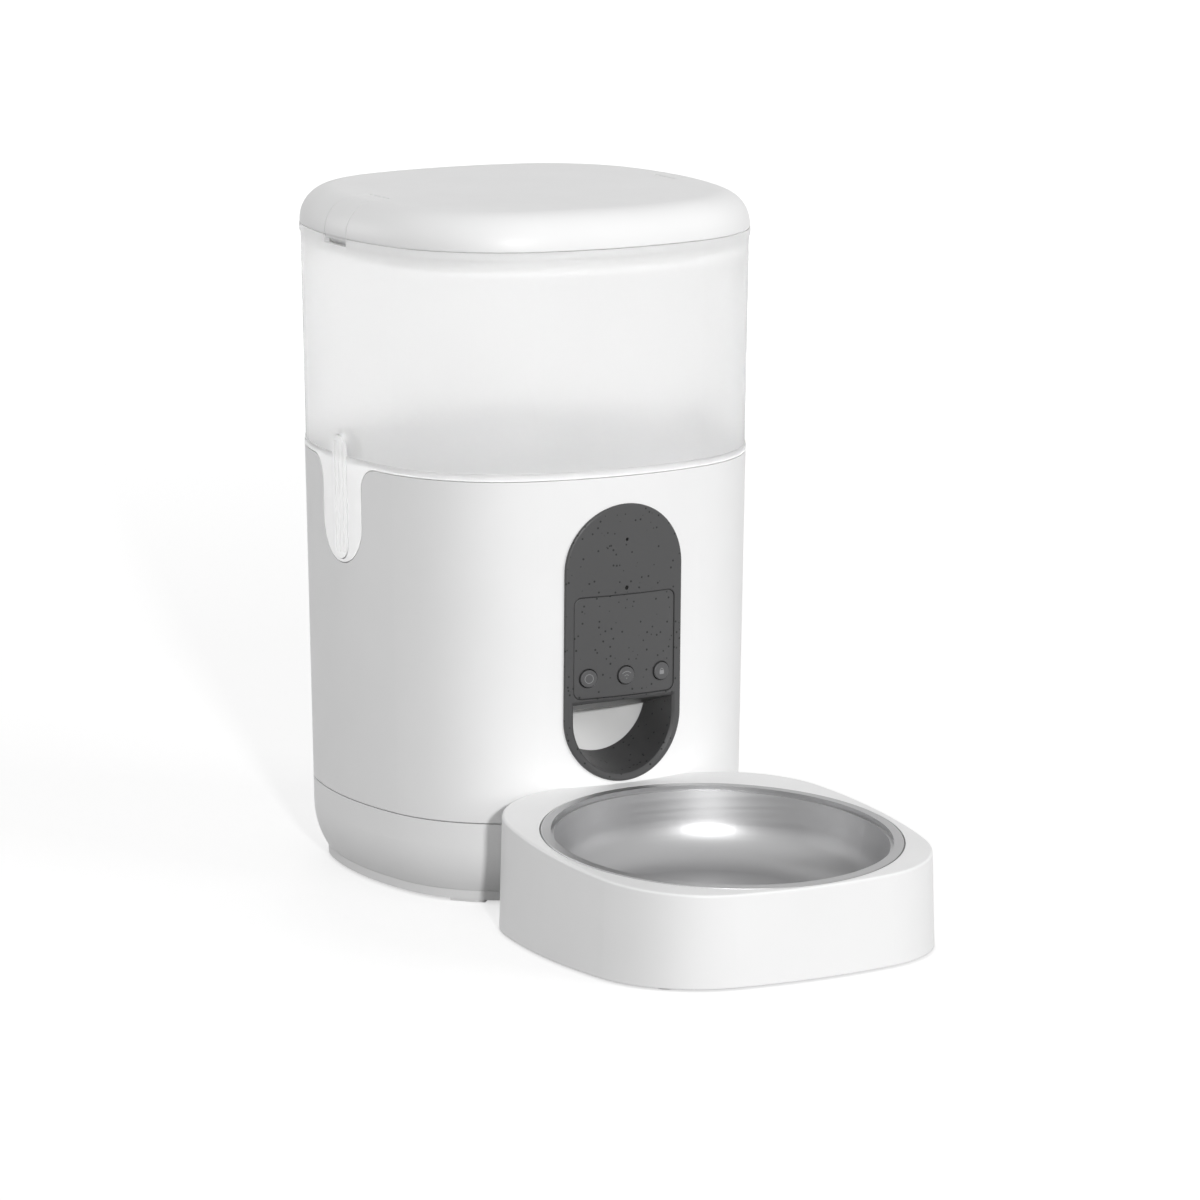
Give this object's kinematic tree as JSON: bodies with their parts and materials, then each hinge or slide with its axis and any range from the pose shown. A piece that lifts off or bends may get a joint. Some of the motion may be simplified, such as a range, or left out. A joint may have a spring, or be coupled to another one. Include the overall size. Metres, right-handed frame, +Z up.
{
  "type": "automatic pet feeder",
  "caption": "Automatic pet feeder: tapered rounded-square body with frosted lift-off tank, latched lid, dark front panel with buttons and food outlet, and a sloping tray with a steel bowl.",
  "frame": {"origin": "middle of the footprint, on the floor that the feeder stands on", "axes": "+Z up, -Y towards the bowl and the pet, +X to the right as seen from the front"},
  "size_m": [0.1896, 0.354, 0.3068],
  "materials": {
    "white_shell": "satin moulded plastic",
    "white_inner": "matt moulded plastic",
    "grey_ring": "matt moulded plastic",
    "frosted": "frosted translucent plastic",
    "frosted_catch": "frosted translucent plastic with fine ribs",
    "dark_panel": "fine matt texture",
    "dark_plate": "fine matt texture",
    "dark_button": "satin moulded plastic",
    "black_plastic": "matt moulded plastic",
    "circuit_board": "lacquered board",
    "clear_guide": "clear rod",
    "steel_part": "plain",
    "brass_part": "turned",
    "gear_plastic": "moulded",
    "cell": "printed sleeve without words",
    "silicone": "soft matt",
    "rubber": "soft matt",
    "fabric_bag": "paper-like weave",
    "satin_steel": "satin"
  },
  "bodies": {
    "housing": {"body_shell": "white_shell", "base_shell": "white_shell", "foot_ring": "grey_ring", "rubber_foot_front_left": "rubber", "rubber_foot_front_right": "rubber", "rubber_foot_rear_left": "rubber", "rubber_foot_rear_right": "rubber", "cell_1": "cell", "cell_2": "cell", "cell_3": "cell", "deck": "white_inner", "chute": "white_inner", "food_sensor_left": "black_plastic", "food_sensor_right": "black_plastic", "front_bezel": "dark_panel", "button_plate": "dark_plate", "panel_board": "circuit_board", "light_guide": "clear_guide", "main_board": "circuit_board", "power_socket": "steel_part", "loudspeaker": "black_plastic", "gearbox_case": "black_plastic", "gearbox_cover": "black_plastic", "motor": "steel_part"},
    "battery_hatch": {"battery_cover": "white_shell"},
    "rotor": {"output_gear": "gear_plastic", "rotor_hub": "white_inner", "rotor_blades": "silicone", "stirrer": "white_inner"},
    "idler": {"idler_gear": "gear_plastic"},
    "pinion": {"motor_pinion": "brass_part"},
    "key_left": {"button_left": "dark_button"},
    "key_middle": {"button_middle": "dark_button"},
    "key_right": {"button_right": "dark_button"},
    "tank_group": {"tank": "frosted"},
    "catch_left": {"tank_catch_left": "frosted_catch"},
    "catch_right": {"tank_catch_right": "frosted_catch"},
    "lid_group": {"lid": "white_shell", "lid_seal": "silicone", "desiccant_box": "white_inner", "desiccant_bag": "fabric_bag"},
    "latch_left": {"lid_latch_left": "white_shell"},
    "latch_right": {"lid_latch_right": "white_shell"},
    "twist_cap": {"desiccant_cap": "white_inner"},
    "tray_group": {"tray": "white_shell", "tray_pad_front_left": "rubber", "tray_pad_front_right": "rubber", "tray_pad_rear_left": "rubber", "tray_pad_rear_right": "rubber"},
    "bowl_group": {"bowl": "satin_steel"}
  },
  "joints": [
    {"name": "tank_lift", "type": "slide", "parent": "housing", "child": "tank_group", "axis": [0, 0, 1], "range_m": [0, 0.08]},
    {"name": "lid_lift", "type": "slide", "parent": "tank_group", "child": "lid_group", "axis": [0, 0, 1], "range_m": [0, 0.05]},
    {"name": "latch_left_press", "type": "hinge", "parent": "lid_group", "child": "latch_left", "pos_m": [-0.0742, 0.082, 0.3056], "axis": [0, -1, 0], "range_deg": [0, 6], "stiffness_Nm_per_rad": 0.3},
    {"name": "latch_right_press", "type": "hinge", "parent": "lid_group", "child": "latch_right", "pos_m": [0.0742, 0.082, 0.3056], "axis": [0, 1, 0], "range_deg": [0, 6], "stiffness_Nm_per_rad": 0.3},
    {"name": "desiccant_twist", "type": "hinge", "parent": "lid_group", "child": "twist_cap", "pos_m": [0, 0.082, 0.284], "axis": [0, 0, 1], "range_deg": [0, 30]},
    {"name": "catch_left_press", "type": "hinge", "parent": "tank_group", "child": "catch_left", "pos_m": [-0.09321, 0.082, 0.197], "axis": [0, -1, 0], "range_deg": [0, 2.5], "stiffness_Nm_per_rad": 1.2},
    {"name": "catch_right_press", "type": "hinge", "parent": "tank_group", "child": "catch_right", "pos_m": [0.09321, 0.082, 0.197], "axis": [0, 1, 0], "range_deg": [0, 2.5], "stiffness_Nm_per_rad": 1.2},
    {"name": "rotor_spin", "type": "hinge", "parent": "housing", "child": "rotor", "pos_m": [0, 0.082, 0.12], "axis": [0, 0, 1], "continuous": true},
    {"name": "idler_spin", "type": "hinge", "parent": "housing", "child": "idler", "pos_m": [0, 0.1093, 0.078], "axis": [0, 0, 1], "continuous": true},
    {"name": "pinion_spin", "type": "hinge", "parent": "housing", "child": "pinion", "pos_m": [0, 0.1276, 0.072], "axis": [0, 0, 1], "continuous": true},
    {"name": "button_left_press", "type": "slide", "parent": "housing", "child": "key_left", "axis": [0, 1, 0], "range_m": [0, 0.001], "stiffness_N_per_m": 500},
    {"name": "button_middle_press", "type": "slide", "parent": "housing", "child": "key_middle", "axis": [0, 1, 0], "range_m": [0, 0.001], "stiffness_N_per_m": 500},
    {"name": "button_right_press", "type": "slide", "parent": "housing", "child": "key_right", "axis": [0, 1, 0], "range_m": [0, 0.001], "stiffness_N_per_m": 500},
    {"name": "tray_pull", "type": "slide", "parent": "housing", "child": "tray_group", "axis": [0, -1, 0], "range_m": [0, 0.06]},
    {"name": "bowl_lift", "type": "slide", "parent": "tray_group", "child": "bowl_group", "axis": [0, -0.0715, 0.9974], "range_m": [0, 0.06]},
    {"name": "battery_cover_drop", "type": "slide", "parent": "housing", "child": "battery_hatch", "axis": [0, 0, -1], "range_m": [0, 0.004]}
  ],
  "couplings": [
    {"joint": "idler_spin", "follows": "rotor_spin", "ratio": -2.6},
    {"joint": "pinion_spin", "follows": "rotor_spin", "ratio": 7.8}
  ]
}
